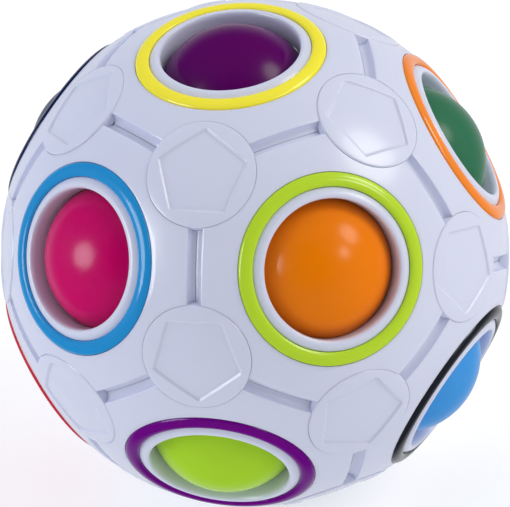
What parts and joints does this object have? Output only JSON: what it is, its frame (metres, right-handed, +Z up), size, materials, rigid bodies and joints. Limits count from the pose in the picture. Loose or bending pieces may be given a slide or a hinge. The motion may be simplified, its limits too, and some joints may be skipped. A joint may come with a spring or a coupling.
{
  "type": "sliding ball puzzle",
  "caption": "Hollow puzzle sphere with coloured rings around round windows, each holding a ball that is pushed in and slid across to a vacant window.",
  "frame": {"origin": "middle of the bottom window's flat lip, on which the sphere stands; the sphere's middle is 33.4 mm above it", "axes": "+Z up through the yellow-ringed window at the top; +Y towards the side of the vacant, magenta-ringed window; +X to the right of that, seen from the front (-Y)"},
  "size_m": [0.07, 0.0702, 0.0688],
  "materials": {
    "shell_white": "satin gloss, moulded",
    "core_white": "satin, moulded",
    "ring_yellow": "high gloss, moulded",
    "ring_orange": "high gloss, moulded",
    "ring_magenta": "high gloss, moulded",
    "ring_navy": "high gloss, moulded",
    "ring_sky": "high gloss, moulded",
    "ring_lime": "high gloss, moulded",
    "ring_green": "high gloss, moulded",
    "ring_pink": "high gloss, moulded",
    "ring_red": "high gloss, moulded",
    "ring_purple": "high gloss, moulded",
    "ring_black": "high gloss, moulded",
    "ring_turquoise": "high gloss, moulded",
    "ball_purple": "satin gloss, moulded",
    "ball_green": "satin gloss, moulded",
    "ball_navy": "satin gloss, moulded",
    "ball_magenta": "satin gloss, moulded",
    "ball_orange": "satin gloss, moulded",
    "ball_yellow": "satin gloss, moulded",
    "ball_red": "satin gloss, moulded",
    "ball_pink": "satin gloss, moulded",
    "ball_lime": "satin gloss, moulded",
    "ball_sky": "satin gloss, moulded",
    "ball_turquoise": "satin gloss, moulded"
  },
  "bodies": {
    "shell": {"panel_yellow_window": "shell_white", "panel_orange_window": "shell_white", "panel_magenta_window": "shell_white", "panel_navy_window": "shell_white", "panel_sky_window": "shell_white", "panel_lime_window": "shell_white", "panel_green_window": "shell_white", "panel_pink_window": "shell_white", "panel_red_window": "shell_white", "panel_purple_window": "shell_white", "panel_black_window": "shell_white", "panel_turquoise_window": "shell_white", "ring_yellow": "ring_yellow", "ring_orange": "ring_orange", "ring_magenta": "ring_magenta", "ring_navy": "ring_navy", "ring_sky": "ring_sky", "ring_lime": "ring_lime", "ring_green": "ring_green", "ring_pink": "ring_pink", "ring_red": "ring_red", "ring_purple": "ring_purple", "ring_black": "ring_black", "ring_turquoise": "ring_turquoise", "corner_cap_01": "shell_white", "corner_cap_02": "shell_white", "corner_cap_03": "shell_white", "corner_cap_04": "shell_white", "corner_cap_05": "shell_white", "corner_cap_06": "shell_white", "corner_cap_07": "shell_white", "corner_cap_08": "shell_white", "corner_cap_09": "shell_white", "corner_cap_10": "shell_white", "corner_cap_11": "shell_white", "corner_cap_12": "shell_white", "corner_cap_13": "shell_white", "corner_cap_14": "shell_white", "corner_cap_15": "shell_white", "corner_cap_16": "shell_white", "corner_cap_17": "shell_white", "corner_cap_18": "shell_white", "corner_cap_19": "shell_white", "corner_cap_20": "shell_white"},
    "purple_ball": {"ball_purple": "ball_purple"},
    "green_ball": {"ball_green": "ball_green"},
    "navy_ball": {"ball_navy": "ball_navy"},
    "magenta_ball": {"ball_magenta": "ball_magenta"},
    "orange_ball": {"ball_orange": "ball_orange"},
    "yellow_ball": {"ball_yellow": "ball_yellow"},
    "red_ball": {"ball_red": "ball_red"},
    "pink_ball": {"ball_pink": "ball_pink"},
    "lime_ball": {"ball_lime": "ball_lime"},
    "sky_ball": {"ball_sky": "ball_sky"},
    "turquoise_ball": {"ball_turquoise": "ball_turquoise"},
    "core": {"core_upper_half": "core_white", "core_lower_half": "core_white"}
  },
  "joints": [
    {"name": "push_purple", "type": "slide", "parent": "shell", "child": "purple_ball", "axis": [0, 0, -1], "range_m": [0, 0.0041]},
    {"name": "push_green", "type": "slide", "parent": "shell", "child": "green_ball", "axis": [-0.8507, -0.2764, -0.4472], "range_m": [0, 0.0041]},
    {"name": "push_navy", "type": "slide", "parent": "shell", "child": "navy_ball", "axis": [0.8507, -0.2764, -0.4472], "range_m": [0, 0.0041]},
    {"name": "push_magenta", "type": "slide", "parent": "shell", "child": "magenta_ball", "axis": [0.5257, 0.7236, -0.4472], "range_m": [0, 0.0041]},
    {"name": "push_orange", "type": "slide", "parent": "shell", "child": "orange_ball", "axis": [-0.5257, 0.7236, -0.4472], "range_m": [0, 0.0041]},
    {"name": "push_yellow", "type": "slide", "parent": "shell", "child": "yellow_ball", "axis": [-0.5257, -0.7236, 0.4472], "range_m": [0, 0.0041]},
    {"name": "push_pink", "type": "slide", "parent": "shell", "child": "pink_ball", "axis": [0.8507, 0.2764, 0.4472], "range_m": [0, 0.0041]},
    {"name": "push_lime", "type": "slide", "parent": "shell", "child": "lime_ball", "axis": [0, 0.8944, 0.4472], "range_m": [0, 0.0041]},
    {"name": "push_sky", "type": "slide", "parent": "shell", "child": "sky_ball", "axis": [-0.8507, 0.2764, 0.4472], "range_m": [0, 0.0041]},
    {"name": "push_turquoise", "type": "slide", "parent": "shell", "child": "turquoise_ball", "axis": [0, 0, 1], "range_m": [-0.00235, 0.00175]},
    {"name": "core_turn", "type": "hinge", "parent": "shell", "child": "core", "pos_m": [0, 0, 0.0334], "axis": [0.809, 0.2629, -0.5257], "range_deg": [0, 63.44]},
    {"name": "pop_red", "type": "slide", "parent": "core", "child": "red_ball", "axis": [0.5257, -0.7236, 0.4472], "range_m": [-0.0041, 0]}
  ]
}
